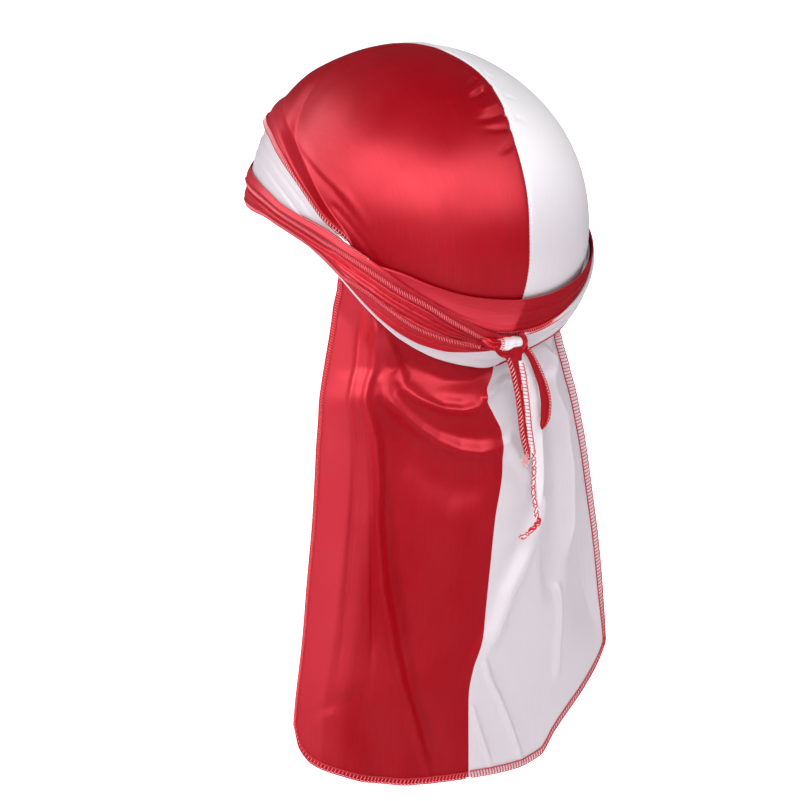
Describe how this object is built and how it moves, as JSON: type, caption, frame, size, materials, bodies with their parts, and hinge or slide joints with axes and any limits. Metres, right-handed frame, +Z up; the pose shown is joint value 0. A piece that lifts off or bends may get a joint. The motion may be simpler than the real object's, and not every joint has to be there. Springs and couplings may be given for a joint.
{
  "type": "durag",
  "caption": "two-tone satin durag in its tied form: seamed crown, long tail at the nape, and two wide ties wound round the head and knotted at the back",
  "frame": {"origin": "the middle of the hollow, level with the widest part of the head that wears it", "axes": "+Z up out of the crown, the wearer faces -Y, +X is the wearer's left, the tail hangs at +Y"},
  "size_m": [0.1899, 0.2026, 0.3612],
  "materials": {
    "red_satin": "glossy satin weave, crimson",
    "white_satin": "glossy satin weave, white with a cool cast",
    "red_thread": "spun overlock thread, crimson",
    "white_thread": "spun overlock thread, white"
  },
  "bodies": {
    "root": {"crown_left": "red_satin", "crown_right": "white_satin", "tail_left": "red_satin", "tail_right": "white_satin", "strap_left": "red_satin", "strap_right": "white_satin", "knot_core": "red_satin", "knot_wrap": "white_satin", "end_red_flat": "red_satin", "end_red_rolled": "red_satin", "end_white": "white_satin"}
  },
  "joints": []
}
